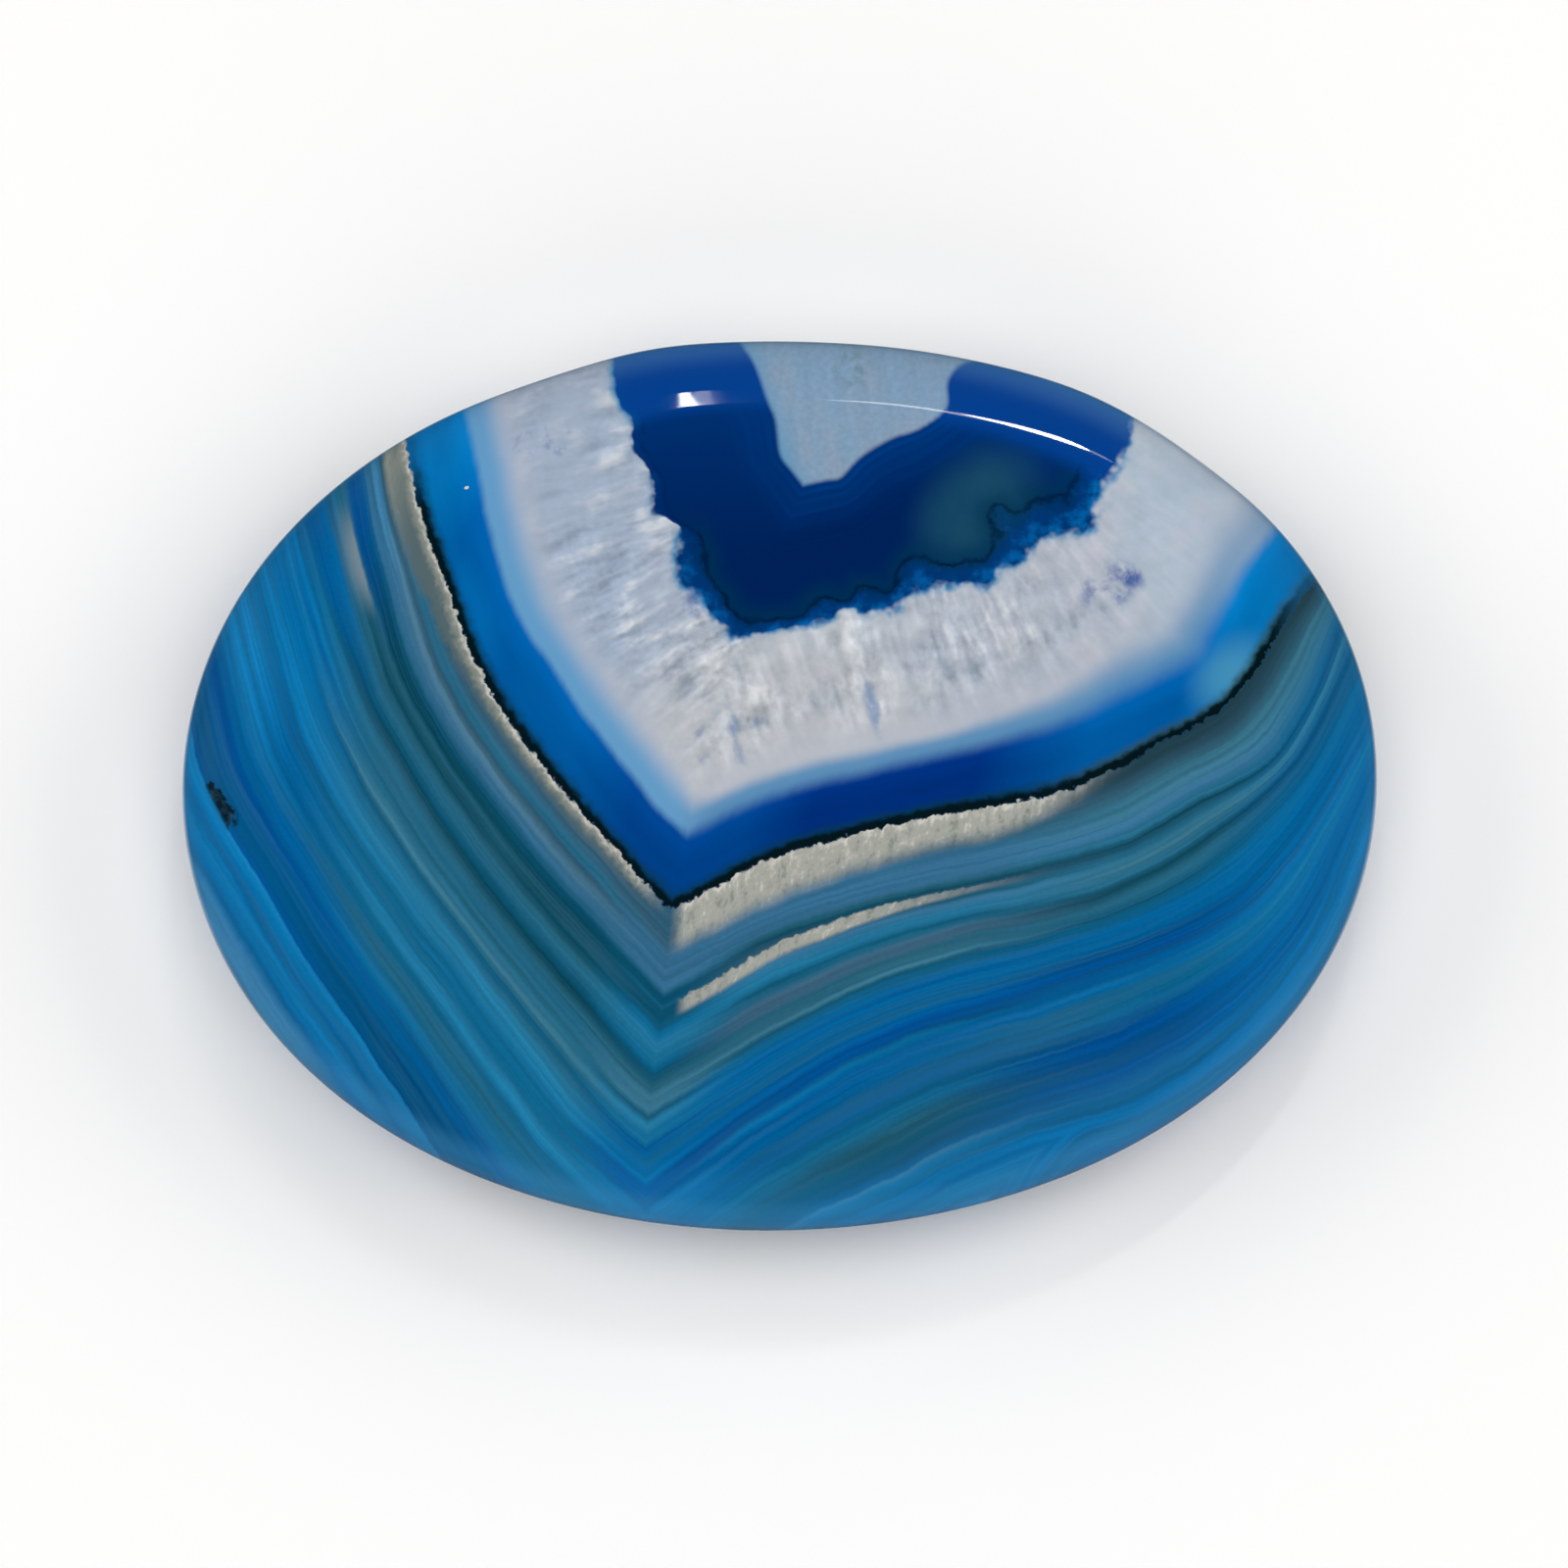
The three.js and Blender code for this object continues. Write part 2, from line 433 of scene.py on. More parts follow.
# The agate's finish. Colours are as the eye sees them, 0 to 255 in red, green and blue.
agateColours = {
    "heartBlue": (84, 146, 186),
    "heartPale": (126, 156, 184),
    "heartGrey": (136, 156, 178),
    "heartStain": (92, 122, 124),
    "navy": (0, 33, 88),
    "deepNavy": (0, 16, 46),
    "coreBlue": (0, 56, 126),
    "coreBright": (4, 78, 146),
    "paintedRimGlow": (66, 122, 182),
    "paintedRimBlue": (3, 64, 144),
    "coreTeal": (24, 74, 100),
    "greenNavy": (0, 50, 80),
    "quartz": (174, 182, 194),
    "quartzMilk": (184, 188, 194),
    "quartzCool": (160, 174, 194),
    "quartzSky": (174, 191, 207),
    "quartzLight": (212, 214, 216),
    "quartzShade": (126, 144, 164),
    "quartzBlue": (96, 130, 180),
    "quartzRose": (190, 186, 198),
    "lavender": (180, 185, 198),
    "seepBlue": (60, 134, 178),
    "paleSteel": (88, 140, 182),
    "paleBlue": (96, 154, 198),
    "brightBlue": (0, 92, 166),
    "blue": (0, 67, 142),
    "royal": (0, 48, 126),
    "azure": (2, 118, 188),
    "blueShade": (10, 56, 80),
    "rust": (46, 78, 74),
    "black": (4, 22, 28),
    "soot": (34, 62, 74),
    "creamLight": (214, 210, 202),
    "cream": (164, 166, 158),
    "creamDark": (122, 129, 121),
    "greyBrown": (84, 102, 106),
    "wedge": (128, 144, 152),
    "slate": (50, 88, 110),
    "mist": (80, 122, 146),
    "fog": (70, 146, 186),
    "steel": (56, 110, 146),
    "steelLight": (62, 130, 176),
    "darkGreen": (10, 64, 82),
    "darkTeal": (12, 78, 106),
    "pine": (34, 90, 112),
    "dullTeal": (36, 102, 132),
    "teal": (14, 100, 142),
    "tealLight": (34, 120, 160),
    "greyTeal": (58, 116, 140),
    "reddish": (60, 97, 122),
    "sea": (0, 86, 146),
    "lake": (2, 98, 156),
    "lakeLight": (10, 116, 174),
    "deepSea": (0, 76, 142),
    "ink": (0, 72, 118),
    "sky": (24, 130, 190),
    "paintedEdgeSheen": (76, 154, 206),
    "stain": (36, 74, 150),
}


def shade(name):
    # the named colour as light, with full cover
    def light(value):
        value = value / 255
        return value / 12.92 if value <= 0.04045 else ((value + 0.055) / 1.055) ** 2.4

    return (*[light(value) for value in agateColours[name]], 1)


def paint(under, over, cover):
    tree = cover.tree
    node = tree.nodes.new("ShaderNodeMix")
    node.data_type = "RGBA"
    plug(tree, node.inputs["Factor"], cover)
    for socket, colour in ((node.inputs[6], under), (node.inputs[7], over)):
        plug(tree, socket, shade(colour) if isinstance(colour, str) else colour)
    return Field(tree, node.outputs[2])


def shaded(colour, amount):
    # lighter where the amount is above 1, and darker below it
    tree = colour.tree
    node = tree.nodes.new("ShaderNodeVectorMath")
    node.operation = "SCALE"
    plug(tree, node.inputs[0], colour)
    plug(tree, node.inputs["Scale"], amount)
    return Field(tree, node.outputs[0])


def rampOf(value, stops):
    # colours named at places along the value
    tree = value.tree
    low, high = stops[0][0], stops[-1][0]
    node = tree.nodes.new("ShaderNodeValToRGB")
    plug(tree, node.inputs[0], (value - low) / (high - low))
    elements = node.color_ramp.elements
    while len(elements) < len(stops):
        elements.new(0.5)
    for element, (place, name) in zip(elements, stops):
        element.position = (place - low) / (high - low)
        element.color = shade(name)
    return Field(tree, node.outputs["Color"])


def noise(tree, x, y, seed, detail=2.0, roughness=0.5):
    # soft noise about 0, mostly between -1 and 1, and each seed gives another one
    node = tree.nodes.new("ShaderNodeTexNoise")
    node.noise_dimensions = "2D"
    node.inputs["Scale"].default_value = 1
    node.inputs["Detail"].default_value = detail
    node.inputs["Roughness"].default_value = roughness
    plug(tree, node.inputs["Vector"], joined(tree, x + seed * 13.7, y, 0))
    return (Field(tree, node.outputs[0]) - 0.5) * 4


def lineWhere(value, width):
    # 1 on the lines where the value passes through 0
    return stepUp(maths("ABSOLUTE", value), width, 0)


def knobs(x, y, size, seed):
    # round grains on a surface, 1 at their tops and 0 or a little below between them
    node = x.tree.nodes.new("ShaderNodeTexVoronoi")
    node.voronoi_dimensions = "2D"
    node.inputs["Scale"].default_value = 1 / size
    plug(x.tree, node.inputs["Vector"], joined(x.tree, x + seed * 7, y, 0))
    away = Field(x.tree, node.outputs["Distance"])
    return 1 - away * away * 2


agatePolish = {
    "roughness": 0.03,
    "refraction": 1.54,  # of quartz
}
# Where each layer begins, in millimetres of depth.
layerStarts = {
    "core": -11.83,
    "coreRing": -5.98,  # the thin dark line just inside the core's bright edge
    "quartz": -5.12,
    "pale": 1.7,
    "blue": 2.6,
    "black": 5.9,
    "cream": 6.44,
    "secondCream": 10.6,
}

# Patches on the face: their middle and reach in millimetres, and their turn in degrees.
agatePatches = {
    "paleWedge": ((-17.3, 9.1), (1.5, 2.9), 18),
    "foggyBlue": ((18.8, 3.2), (2.6, 1.7), 48),
    "azureBlue": ((-12.6, 7), (1.2, 3.4), 18),
    "milkyQuartz": ((0, 1), (9, 6), 0),
    "blueVein": ((4, 2), (0.4, 1.7), 12),
    "blueShadows": ((-2, 0.8), (2.4, 1.8), 0),
    "stainBlot": ((14.75, 7.55), (1.05, 0.7), -40),
    "stainArms": ((14, 7.1), (1.9, 1.3), 35),
    "leftStain": ((-9.4, 14), (1.9, 0.9), 0),
    "edgeStain": ((-3.1, 6.9), (0.9, 0.9), 0),
    "coreTeal": ((8.6, 10.6), (4.2, 2.9), 48),
    "heartStain": ((3.5, 16.9), (1.2, 1.4), 0),
    "chipTop": ((-23.5, -0.95), (0.45, 0.95), 20),
    "chipFoot": ((-23.1, -1.75), (0.65, 0.95), 25),
    "paleSpeck": ((-12.75, 12.1), (0.12, 0.08), 20),
}


def patch(face, name):
    # 1 in the middle of the oval patch and 0 at its edge
    middle, reach, turn = agatePatches[name]
    x = face[0] - middle[0]
    y = face[1] - middle[1]
    cosine, sine = math.cos(math.radians(turn)), math.sin(math.radians(turn))
    u = (x * cosine + y * sine) / reach[0]
    v = (y * cosine - x * sine) / reach[1]
    return maths("MAXIMUM", 1 - maths("SQRT", u * u + v * v), 0)


# Each row names the colours of the layers outside the black line, by their depth. The first is at the
# fold, and the others lie further out along the arms.
bandRows = {
    "atFold": [
        (6.3, "slate"), (7.8, "slate"), (8.5, "steel"), (9.7, "steel"), (10.1, "darkTeal"),
        (11.3, "darkTeal"), (11.7, "teal"), (12.4, "tealLight"), (13.1, "teal"), (13.4, "darkTeal"),
        (13.9, "pine"), (14.3, "greyTeal"), (15, "greyTeal"), (15.3, "darkTeal"),
        (15.6, "tealLight"), (16.4, "teal"), (16.65, "sea"), (16.9, "lake"), (17.9, "lake"),
        (18.3, "deepSea"), (18.9, "deepSea"), (19.3, "lakeLight"), (20.4, "lake"),
        (21.2, "lakeLight"), (24, "lake"), (26, "sky"),
    ],
    "leftMiddle": [
        (6.3, "creamDark"), (6.9, "greyBrown"), (7.4, "slate"), (8.1, "dullTeal"), (8.4, "slate"),
        (8.75, "mist"), (9.3, "steel"), (9.9, "darkTeal"), (10.6, "darkGreen"), (11, "pine"),
        (11.5, "darkGreen"), (12, "pine"), (12.4, "dullTeal"), (13, "darkTeal"),
        (13.4, "darkGreen"), (13.8, "pine"), (14.3, "dullTeal"), (14.85, "dullTeal"),
        (15.05, "pine"), (15.3, "dullTeal"), (15.9, "greyTeal"), (16.3, "darkTeal"),
        (16.7, "dullTeal"), (17.5, "tealLight"), (18.4, "teal"), (19.1, "teal"),
        (19.7, "tealLight"), (20.4, "teal"), (21.1, "dullTeal"), (22, "teal"), (22.8, "sea"),
        (23.4, "ink"),
    ],
    "leftFar": [
        (6.3, "cream"), (7.6, "cream"), (8.1, "creamDark"), (8.45, "slate"), (8.8, "steelLight"),
        (9.6, "steel"), (10, "sea"), (10.4, "deepSea"), (10.8, "deepSea"), (11.1, "dullTeal"),
        (11.9, "dullTeal"), (12.4, "lake"), (13.2, "sea"), (13.9, "teal"), (14.9, "lakeLight"),
        (15.2, "sea"), (15.6, "lakeLight"), (16.3, "lake"), (17, "lakeLight"), (18, "lakeLight"),
        (18.6, "sea"), (19.2, "lake"), (19.9, "sea"), (20.5, "lake"), (21.2, "lake"), (22, "sea"),
        (22.8, "deepSea"), (24, "ink"), (25, "deepSea"),
    ],
    "rightMiddle": [
        (6.3, "slate"), (7.9, "slate"), (8.3, "steel"), (9.3, "steel"), (9.6, "pine"),
        (9.85, "darkGreen"), (10.2, "slate"), (10.7, "pine"), (11, "steel"), (11.7, "tealLight"),
        (12.2, "darkTeal"), (12.5, "dullTeal"), (12.8, "reddish"), (13.3, "reddish"),
        (13.6, "pine"), (14.4, "greyTeal"), (14.75, "darkTeal"), (15, "teal"), (15.6, "lake"),
        (15.95, "sea"), (16.2, "lake"), (17.3, "lake"), (17.9, "deepSea"), (18.6, "deepSea"),
        (18.8, "lakeLight"), (19.1, "sea"), (19.7, "lake"),
    ],
    "rightDeep": [
        (19.7, "lake"), (20.3, "sea"), (20.9, "teal"), (21.6, "pine"), (22.1, "darkTeal"),
        (22.6, "ink"), (22.9, "sea"), (23.03, "steelLight"), (23.2, "lakeLight"), (24.1, "lake"),
        (24.35, "sea"), (24.6, "teal"), (25.1, "lakeLight"), (25.4, "lake"), (25.7, "sky"),
        (26, "lakeLight"),
    ],
    "rightFar": [
        (6.3, "soot"), (6.8, "soot"), (7.3, "slate"), (7.9, "greyTeal"), (8.4, "greyTeal"),
        (9.1, "steel"), (9.6, "dullTeal"), (9.95, "darkGreen"), (10.7, "dullTeal"),
        (11.6, "greyTeal"), (12.2, "dullTeal"), (12.8, "darkGreen"), (13.3, "pine"),
        (13.9, "dullTeal"), (14.4, "darkTeal"), (14.9, "teal"), (15.6, "lake"), (16.6, "lake"),
        (17.4, "deepSea"), (18.2, "deepSea"), (19, "lake"), (20, "teal"), (21, "deepSea"),
        (22.2, "deepSea"), (23, "sea"), (24, "lake"),
    ],
    "farthest": [
        (6.3, "soot"), (6.9, "pine"), (8, "greyTeal"), (9, "dullTeal"), (9.6, "lake"),
        (10.4, "sea"), (11.2, "tealLight"), (11.9, "lake"), (12.8, "sea"), (13.8, "sea"),
        (14.6, "lake"), (15.6, "lakeLight"), (16.6, "lake"), (17.6, "lakeLight"),
        (18.8, "lakeLight"), (19.5, "sky"), (21.4, "lakeLight"), (22.4, "lake"), (24, "lakeLight"),
    ],
    "leftRim": [
        (25, "sky"), (25.3, "lakeLight"), (25.7, "lake"), (26.2, "lakeLight"), (26.8, "lake"),
        (27.4, "steelLight"), (29, "steelLight"),
    ],
}
# the blue band's colours, by the way out from the fold
leftBlue = [(-2, "blue"), (3, "blue"), (7, "brightBlue"), (17, "brightBlue"), (20, "azure")]
rightBlue = [(-2, "blue"), (3, "blue"), (6, "royal"), (13, "royal"), (18, "brightBlue"),
             (22, "brightBlue"), (26, "azure")]


def outerBands(tree, depth, way, arm, onRight, face):
    # the fine teal, grey and blue layers outside the black line
    bolder = 1 + stepUp(depth, 22, 25) * onRight * 0.9  # fine layers show more towards the right rim
    # beyond the last layer, on the stone's side, the same ones follow in turn
    lastLayer = 29 - onRight * (3 + stepUp(way, 13, 21) * 2)
    depth = depth - maths("MAXIMUM", depth - lastLayer, 0) * 2
    row = {name: rampOf(depth, stops) for name, stops in bandRows.items()}
    # one row passes into the next along the arms
    left = paint(row["leftMiddle"], row["leftFar"], stepUp(way, 18, 26))
    left = paint(left, row["leftRim"], stepUp(depth, 24.9, 25.1))
    right = paint(row["rightMiddle"], row["rightDeep"], stepUp(depth, 19.6, 19.8))
    right = paint(right, row["rightFar"], stepUp(way, 13, 21))
    outer = paint(left, right, onRight)
    outer = paint(row["atFold"], outer, stepUp(way, 0.5, 5))
    nearRim = 1 - (1 - onRight) * stepUp(depth, 20.8, 22.2)
    outer = paint(outer, row["farthest"], stepUp(way, 24, 31) * (0.8 - onRight * 0.25) * nearRim)

    # finer lines between the named ones, long along the arms and narrow across them
    layers = noise(tree, arm * 0.03, depth * 2.1, 21, 3, 0.55)
    swing = noise(tree, arm * 0.12, depth * 0.8, 22, 2)
    grain = noise(tree, face[0] * 5, face[1] * 5, 23, 2)
    hair = noise(tree, arm * 0.05, depth * 5, 27, 2, 0.6)
    hair = hair * (0.5 + noise(tree, arm * 0.3, depth * 0.7, 28, 1))
    fine = (layers * 0.18 + hair * 0.12) * bolder
    outer = shaded(outer, 1 + fine + swing * 0.08 + grain * 0.04)
    stripes = noise(tree, arm * 0.025, depth, 26, 1)
    far = stepUp(depth, 13, 17) * stepUp(depth, 27, 24) * (0.25 + onRight * 0.15)
    outer = paint(outer, "pine", stepUp(stripes, 0, 1.2) * far)
    outer = paint(outer, "lakeLight", stepUp(stripes, 0, -1.2) * far)
    darkLines = lineWhere(noise(tree, arm * 0.035, depth * 1.3, 24, 1), 0.4)
    lightLines = lineWhere(noise(tree, arm * 0.03, depth * 1.1, 25, 1), 0.35)
    outer = paint(outer, "darkTeal", darkLines * (0.2 + swing * 0.15))
    outer = paint(outer, "steel", lightLines * (0.12 - swing * 0.12))
    # a pale wedge lies between two layers at the upper left
    wedge = stepUp(depth, 10.9, 11.1) * stepUp(depth, 12.4, 11)
    wedge = wedge * stepUp(patch(face, "paleWedge"), 0, 0.8)
    return paint(outer, "wedge", wedge * 0.8)


def crystalTips(tree, face):
    # the uneven height of a row of small crystals, in millimetres
    large = noise(tree, face[0] * 1.3, face[1] * 1.3, 35, 1)
    small = noise(tree, face[0] * 2.9, face[1] * 2.9, 47, 1)
    return maths("ABSOLUTE", large) * 0.16 + maths("ABSOLUTE", small) * 0.12


def creamBands(tree, under, depth, way, arm, onRight, tips):
    # two pale bands of crystal tips, whose knobbly edge meets a dark line
    wander = noise(tree, arm * 0.9, 0, 33, 2)
    top = layerStarts["cream"] - tips + wander * 0.04
    within = depth - top
    fibre = noise(tree, arm * 2.2, depth * 0.9, 31, 3, 0.6)
    tone = fibre * 1.1 + noise(tree, arm * 5, depth * 5, 34, 2) * 0.5 + stepUp(within, 0.6, 0) - 0.2
    colour = paint("cream", "creamLight", stepUp(tone, 0, 1.5) * 0.8)
    colour = paint(colour, "creamDark", stepUp(tone, -0.2, -1.6) * 0.8)
    farDown = stepUp(way, 27, 22)
    dark = stepUp(within + fibre * 0.05, 0.1, 0.35) * (0.25 + farDown * 0.55)
    brown = stepUp(within + fibre * 0.08, 0.3, 0.8) * stepUp(way, 26, 20)
    leftColour = paint(paint(colour, "creamDark", dark), "greyBrown", brown)

    # the first one is wide on the right and narrow on the left, and widens again far up the left arm
    isTop = stepUp(within, -0.07, 0.08)
    rightLow = 8.0 - stepUp(way, 4, 14) * 0.45 - stepUp(way, 14, 20) * 1.1 + wander * 0.06
    right = stepUp(depth, rightLow + 0.65, rightLow - 0.4) * stepUp(way, 0, 1) * stepUp(way, 21, 15)
    leftWide = 0.25 + stepUp(way, 10, 22) * 1.1
    left = stepUp(within, leftWide + 0.7, leftWide) * stepUp(way, 0.1, 2.5) * 0.95
    outer = paint(under, leftColour, isTop * left * (1 - onRight))
    outer = paint(outer, colour, isTop * right * onRight)

    # the second one shows on the right alone, and tapers off
    second = layerStarts["secondCream"] - stepUp(way, 1, 9) * 0.5 - tips * 0.7 + wander * 0.05
    secondLow = 11.1 - stepUp(way, 1, 9) * 0.35 - stepUp(way, 8, 15) * 0.4
    narrow = stepUp(depth, second - 0.07, second + 0.08)
    narrow = narrow * stepUp(depth, secondLow + 0.25, secondLow - 0.12)
    narrow = narrow * stepUp(way, 0.6, 1.4) * stepUp(way, 17.5, 8)
    outer = paint(outer, colour, narrow * onRight * 0.95)
    return outer, top


def blackLine(tree, depth, way, onRight, lowEdge, face):
    # dark metal salts that gathered behind the cream
    lumps = noise(tree, face[0] * 2.1, face[1] * 2.1, 62, 2, 0.55)
    upper = layerStarts["black"] - onRight * 0.04 + lumps * 0.09
    above = stepUp(depth, lowEdge + 0.07, lowEdge - 0.06)
    there = 1 - (1 - onRight) * stepUp(way, 20, 23) * 0.8 - onRight * stepUp(way, 28, 31) * 0.55
    haze = stepUp(depth, upper - 0.5, upper + 0.1) * above * 0.8
    line = stepUp(depth, upper - 0.12, upper + 0.2) * above
    smoke = stepUp(depth, 8.3, 6.5) * stepUp(way, 15, 23) * onRight * 0.75
    return haze * there, line * there, smoke


def blueBand(tree, depth, way, arm, toRight, face):
    # clear blue, darkest near the fold on the right and bright at both far ends
    blue = paint(rampOf(way, leftBlue), rampOf(way, rightBlue), toRight)
    uneven = noise(tree, arm * 0.3, depth * 1.4, 71) * 0.04
    blue = shaded(blue, 1.15 - stepUp(depth, 3.2, 4.8) * 0.25 + uneven)
    blue = paint(blue, "fog", stepUp(patch(face, "foggyBlue"), 0, 0.9) * 0.85)
    return paint(blue, "azure", stepUp(patch(face, "azureBlue"), 0, 0.8) * 0.35)


def quartzBand(tree, depth, leftFan, rightFan, toRight, face):
    # milky crystals that stand on the blue band and point at the core, grey-blue between them
    bend = noise(tree, face[0] * 0.35, face[1] * 0.35, 80, 1) * 0.12

    def crystals(shift):
        left = noise(tree, (leftFan + bend + shift) * 1.25, depth * 0.33, 81, 3, 0.45)
        right = noise(tree, (rightFan + bend + shift) * 1.25, depth * 0.33, 82, 3, 0.45)
        return left + (right - left) * toRight

    def lumps(shift):
        soft = noise(tree, face[0] * 0.45 - shift, face[1] * 0.5 + shift, 85, 3, 0.55)
        return soft + knobs(face[0] - shift, face[1] + shift, 1, 84) * stepUp(depth, -2.8, -4.8) * 0.6

    streaks = crystals(0)
    clouds = lumps(0)
    height = streaks * 0.75 + clouds * 0.6
    # painted light and shade: their sides are painted lighter or darker where they rise or fall to one
    # side, as if lit from one side
    lit = (streaks - crystals(0.2)) * 0.5 + (clouds - lumps(0.16)) * 0.6
    sparkle = noise(tree, face[0] * 3.5, face[1] * 3.5, 83, 3, 0.6)
    patchy = 0.35 + stepUp(noise(tree, face[0] * 0.3, face[1] * 0.3, 86, 1), -0.9, 0.6) * 0.75
    calmTop = 1 - stepUp(face[1], 6, 12) * 0.4
    inner = 0.16 + stepUp(depth, 2, -1.2) * stepUp(face[0], 20, 5) * calmTop * patchy

    quartz = paint("quartz", "quartzCool", stepUp(face[0], 0, -7))
    quartz = paint(quartz, "quartzMilk", stepUp(patch(face, "milkyQuartz"), 0, 0.6))
    quartz = paint(quartz, "quartzSky", stepUp(face[0] + face[1] * 0.3, 14, 20) * 0.8)
    # painted light and shade: the crystals' milky tops are painted lighter and the low places between
    # them in grey-blue shade
    quartz = paint(quartz, "quartzLight", stepUp(height, 0, 1.2) * inner * 0.8)
    quartz = paint(quartz, "quartzShade", stepUp(height, 0, -1.4) * inner * 0.65)
    quartz = shaded(quartz, 1 + (lit * 0.28 + sparkle * 0.07) * inner)
    quartz = paint(quartz, "quartzRose", stepUp(clouds, -0.2, 1.2) * stepUp(face[0], 6, 14) * 0.5)
    quartz = paint(quartz, "lavender", stepUp(depth, 0, 2.0) * 0.6)
    # a few blue veins run between the crystals, and in one patch blue painted shade lies where the
    # crystals are low
    thin = stepUp(streaks + sparkle * 0.25, 0.4, -0.6)
    vein = stepUp(patch(face, "blueVein"), 0, 0.8) * thin
    shadows = stepUp(patch(face, "blueShadows"), 0, 0.6) * stepUp(height, -0.1, -1) * 0.6
    return paint(quartz, "quartzBlue", maths("MAXIMUM", vein * 0.6, shadows))


def stains(tree, face):
    # branching specks of blue dye in the quartz
    specks = noise(tree, face[0] * 1.1, face[1] * 1.1, 52, 4, 0.62)
    blot = stepUp(patch(face, "stainBlot"), 0, 0.7) * stepUp(specks, -1.2, 0.3)
    arms = stepUp(patch(face, "stainArms"), 0, 0.6) * stepUp(specks, -0.3, 0.8) * 0.6
    right = maths("MAXIMUM", blot, arms)
    left = stepUp(patch(face, "leftStain"), 0, 0.6) * stepUp(specks, -0.2, 0.8) * 0.5
    edge = stepUp(patch(face, "edgeStain"), 0, 0.6) * stepUp(specks, -0.4, 0.5) * 0.6
    return maths("MAXIMUM", maths("MAXIMUM", right, left), edge)


def coreOfNavy(tree, depth, way, toRight, face, fromOutline):
    # clear dark blue, with a crumbly bright edge and a dull green patch
    core = paint("navy", "coreBlue", stepUp(face[1] - toRight * 1.5, 8, 15) * 0.4)
    # faint rings that follow the heart
    rings = noise(tree, face[0] * 0.04, depth * 3, 94, 2, 0.6)
    glow = stepUp(depth, -9, -11.8) * (0.4 + toRight * 0.3)
    faint = stepUp(depth, -7.5, -9.5) * stepUp(rings, 0.2, 1.2) * 0.2
    core = paint(core, "coreBlue", glow * (1 + rings * 0.6) + faint)
    cloudy = 0.85 + noise(tree, face[0] * 0.7, face[1] * 0.7, 93, 2) * 0.1
    core = paint(core, "coreTeal", stepUp(patch(face, "coreTeal"), 0, 0.7) * cloudy)
    crumble = noise(tree, face[0] * 1.3, face[1] * 1.3, 96, 4, 0.65)
    inner = layerStarts["coreRing"] + crumble * 0.16
    low = 1 - (1 - toRight) * stepUp(way, 3, 7)  # the edge shows best round the bottom and on the right
    core = paint(core, "greenNavy", stepUp(depth, inner - 1.2, inner - 0.1) * low * 0.6)
    mottle = noise(tree, face[0] * 1.5, face[1] * 1.5, 95, 3, 0.58)
    fringe = stepUp(depth, inner, inner + 0.4)
    core = paint(core, "coreBlue", fringe * (0.1 + low * 0.5))
    crumbs = stepUp(mottle + (depth - inner) * 1.2, 0.3, 1.9)
    core = paint(core, "coreBright", fringe * crumbs * (0.2 + low * 0.8))
    bright = 0.35 + stepUp(face[0], 11, 13.5) * 0.4
    core = paint(core, "azure", stepUp(depth, -5.7, -5.1) * stepUp(mottle, -0.8, 0.9) * low * bright)
    topLeft = stepUp(face[1], 14.2, 15.4) * (1 - toRight)
    core = paint(core, "teal", stepUp(depth, -6.2, -5.5) * topLeft * 0.6)
    line = stepUp(depth, inner - 0.18, inner) * stepUp(depth, inner + 0.16, inner + 0.02)
    core = paint(core, "deepNavy", line * (0.2 + low * 0.35 + mottle * 0.25))
    # painted light: the core is painted lighter towards the rim, for the light that shines through the
    # thin edge
    lit = stepUp(fromOutline, 4.3, 3.3) * 0.85 + stepUp(fromOutline, 6, 4) * 0.1
    core = paint(core, "paintedRimBlue", lit)
    return paint(core, "paintedRimGlow", stepUp(fromOutline, 2.1, 0.2) * 0.6)


def paleHeart(tree, face):
    # cloudy grey-blue, bluer on its left
    cloud = noise(tree, face[0] * 0.9, face[1] * 0.4, 97, 3)
    heart = paint("heartPale", "heartGrey", stepUp(cloud + (15 - face[1]) * 0.25, -0.8, 1.2))
    streaks = noise(tree, face[0] * 2.2, face[1] * 0.25, 90, 3)
    heart = shaded(heart, 1 + streaks * 0.04 + noise(tree, face[0] * 4, face[1] * 4, 99, 3) * 0.07)
    heart = paint(heart, "heartBlue", stepUp(face[0] + (face[1] - 12) * 0.35, 2.1, 0.5) * 0.85)
    flecks = stepUp(noise(tree, face[0] * 1.8, face[1] * 1.8, 98, 3), -0.3, 0.8)
    stain = stepUp(patch(face, "heartStain"), 0, 0.7) * flecks
    return paint(heart, "heartStain", stain * 0.5)


